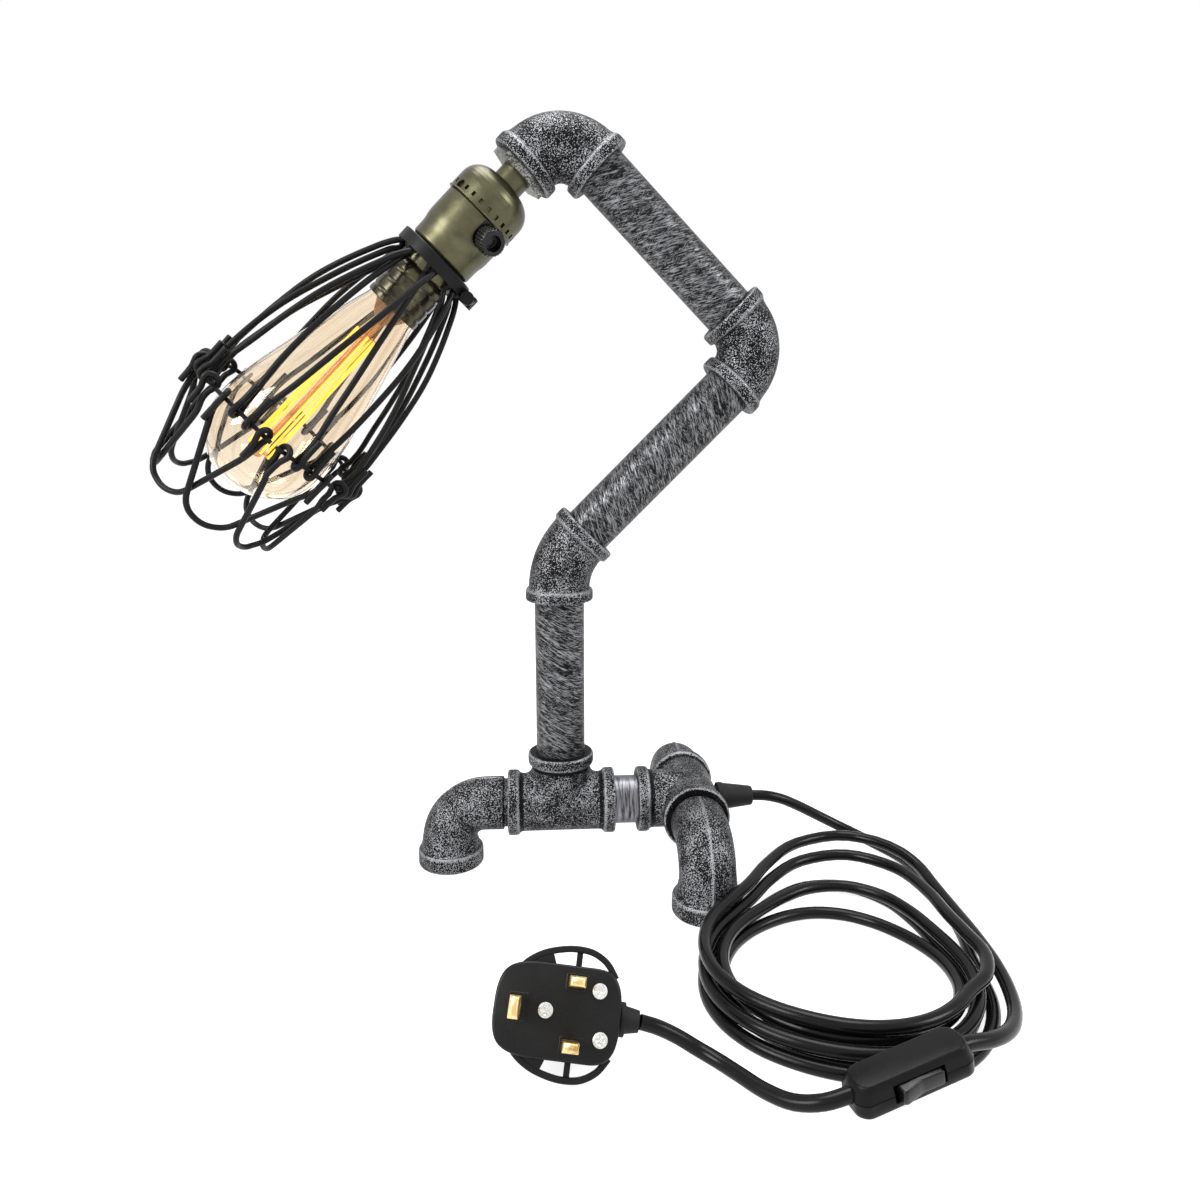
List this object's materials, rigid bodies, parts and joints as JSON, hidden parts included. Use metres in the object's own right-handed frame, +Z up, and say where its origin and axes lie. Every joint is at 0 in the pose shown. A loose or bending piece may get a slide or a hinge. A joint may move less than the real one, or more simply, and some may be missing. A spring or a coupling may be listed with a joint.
{
  "type": "table lamp",
  "caption": "Table lamp of jointed iron pipe on a footed pipe base, with a caged filament bulb, a coiled cord, an in-line switch and a plug.",
  "frame": {"origin": "on the table, below the middle of the lamp without its free cord", "axes": "+X along the base from the single foot to the cord, +Y away from the front foot, +Z up"},
  "size_m": [0.4053, 0.2957, 0.3955],
  "materials": {
    "fitting": "black with worn silver highlights",
    "pipe": "streaky brushed steel over black",
    "gland": "matt",
    "cord": "satin",
    "bronze": "antique bronze",
    "brass": "bright",
    "liner": "pressed board",
    "phenolic": "moulded",
    "screw": "nickel plated",
    "knob": "moulded",
    "cage": "satin black",
    "amber_glass": "amber, clear",
    "clear_glass": "clear",
    "filament": "yellow coated rods",
    "switch": "moulded, satin",
    "plug": "moulded, satin"
  },
  "bodies": {
    "base": {"base_tee": "fitting", "cord_tee": "fitting", "base_nipple": "pipe", "left_foot_elbow": "fitting", "front_foot_elbow": "fitting", "back_foot_elbow": "fitting", "cord_gland": "gland", "flex_base": "cord", "cord_lead": "cord", "cord_coil": "cord", "cord_plug": "cord", "switch_lower": "switch", "switch_upper": "switch", "plug_base": "plug", "plug_cover": "plug", "earth_pin": "brass", "line_pins": "brass", "plug_screws": "screw", "plug_sleeve": "plug"},
    "upright": {"upright_pipe": "pipe", "elbow_45": "fitting", "flex_upright": "cord"},
    "lower_arm": {"lower_pipe": "pipe", "elbow_90": "fitting", "flex_lower": "cord"},
    "upper_arm": {"upper_pipe": "pipe", "top_elbow": "fitting", "hex_bush": "bronze", "head_nipple": "brass", "flex_upper": "cord"},
    "head": {"holder_cap": "bronze", "lock_nut": "brass", "holder_shell": "bronze", "shell_liner": "liner", "holder_core": "phenolic", "screw_shell": "brass", "centre_contact": "brass", "terminal_screws": "screw", "flex_head": "cord", "cage_collar": "cage", "clamp_nut": "cage", "cage_hairpins": "cage", "cage_rods": "cage"},
    "knob": {"switch_stem": "knob", "switch_knob": "knob"},
    "collar_screw": {"clamp_screw": "cage"},
    "bulb": {"bulb_cap": "bronze", "bulb_contact": "phenolic", "bulb_glass": "amber_glass", "bulb_stem": "clear_glass", "filament": "filament"},
    "rocker": {"switch_rocker": "switch"},
    "lower_wire_1": {"petal_1": "cage"},
    "lower_wire_2": {"petal_2": "cage"},
    "lower_wire_3": {"petal_3": "cage"},
    "lower_wire_4": {"petal_4": "cage"},
    "lower_wire_5": {"petal_5": "cage"},
    "lower_wire_6": {"petal_6": "cage"},
    "lower_wire_7": {"petal_7": "cage"},
    "lower_wire_8": {"petal_8": "cage"}
  },
  "joints": [
    {"name": "upright_swivel", "type": "hinge", "parent": "base", "child": "upright", "pos_m": [0.0452, 0, 0.0645], "axis": [0, 0, 1], "range_deg": [-90, 90]},
    {"name": "lower_arm_swivel", "type": "hinge", "parent": "upright", "child": "lower_arm", "pos_m": [0.0452, 0, 0.1735], "axis": [0.7071, 0, 0.7071], "range_deg": [-45, 45]},
    {"name": "upper_arm_swivel", "type": "hinge", "parent": "lower_arm", "child": "upper_arm", "pos_m": [0.15409, 0, 0.28239], "axis": [-0.7071, 0, 0.7071], "range_deg": [-45, 45]},
    {"name": "head_swivel", "type": "hinge", "parent": "upper_arm", "child": "head", "pos_m": [0.04803, 0, 0.38846], "axis": [-0.7071, 0, -0.7071], "range_deg": [-90, 90]},
    {"name": "knob_turn", "type": "hinge", "parent": "head", "child": "knob", "pos_m": [0.00207, 0, 0.3425], "axis": [0.4353, -0.788, -0.4353], "continuous": true},
    {"name": "collar_screw_turn", "type": "hinge", "parent": "head", "child": "collar_screw", "pos_m": [0.00037, 0, 0.30686], "axis": [0, 1, 0], "continuous": true},
    {"name": "bulb_draw", "type": "slide", "parent": "head", "child": "bulb", "axis": [-0.7071, 0, -0.7071], "range_m": [0, 0.022]},
    {"name": "rocker_press", "type": "hinge", "parent": "base", "child": "rocker", "pos_m": [0.16693, -0.20611, 0.01511], "axis": [-0.172, -0.0419, 0.9842], "range_deg": [-12, 0]},
    {"name": "lower_wire_1_open", "type": "hinge", "parent": "head", "child": "lower_wire_1", "pos_m": [-0.08976, -0.03665, 0.23775], "axis": [-0.6861, -0.2419, 0.6861], "range_deg": [0, 50]},
    {"name": "lower_wire_2_open", "type": "hinge", "parent": "head", "child": "lower_wire_2", "pos_m": [-0.10998, -0.03238, 0.25797], "axis": [-0.6061, 0.515, 0.6061], "range_deg": [0, 50]},
    {"name": "lower_wire_3_open", "type": "hinge", "parent": "head", "child": "lower_wire_3", "pos_m": [-0.12214, -0.00914, 0.27013], "axis": [-0.1711, 0.9703, 0.1711], "range_deg": [0, 50]},
    {"name": "lower_wire_4_open", "type": "hinge", "parent": "head", "child": "lower_wire_4", "pos_m": [-0.11912, 0.01946, 0.26711], "axis": [0.3642, 0.8572, -0.3642], "range_deg": [0, 50]},
    {"name": "lower_wire_5_open", "type": "hinge", "parent": "head", "child": "lower_wire_5", "pos_m": [-0.10268, 0.03665, 0.25067], "axis": [0.6861, 0.2419, -0.6861], "range_deg": [0, 50]},
    {"name": "lower_wire_6_open", "type": "hinge", "parent": "head", "child": "lower_wire_6", "pos_m": [-0.08246, 0.03238, 0.23045], "axis": [0.6061, -0.515, -0.6061], "range_deg": [0, 50]},
    {"name": "lower_wire_7_open", "type": "hinge", "parent": "head", "child": "lower_wire_7", "pos_m": [-0.0703, 0.00914, 0.21829], "axis": [0.1711, -0.9703, -0.1711], "range_deg": [0, 50]},
    {"name": "lower_wire_8_open", "type": "hinge", "parent": "head", "child": "lower_wire_8", "pos_m": [-0.07333, -0.01946, 0.22131], "axis": [-0.3642, -0.8572, 0.3642], "range_deg": [0, 50]}
  ],
  "couplings": [
    {"joint": "lower_wire_2_open", "follows": "lower_wire_1_open", "ratio": 1},
    {"joint": "lower_wire_3_open", "follows": "lower_wire_1_open", "ratio": 1},
    {"joint": "lower_wire_4_open", "follows": "lower_wire_1_open", "ratio": 1},
    {"joint": "lower_wire_5_open", "follows": "lower_wire_1_open", "ratio": 1},
    {"joint": "lower_wire_6_open", "follows": "lower_wire_1_open", "ratio": 1},
    {"joint": "lower_wire_7_open", "follows": "lower_wire_1_open", "ratio": 1},
    {"joint": "lower_wire_8_open", "follows": "lower_wire_1_open", "ratio": 1}
  ]
}
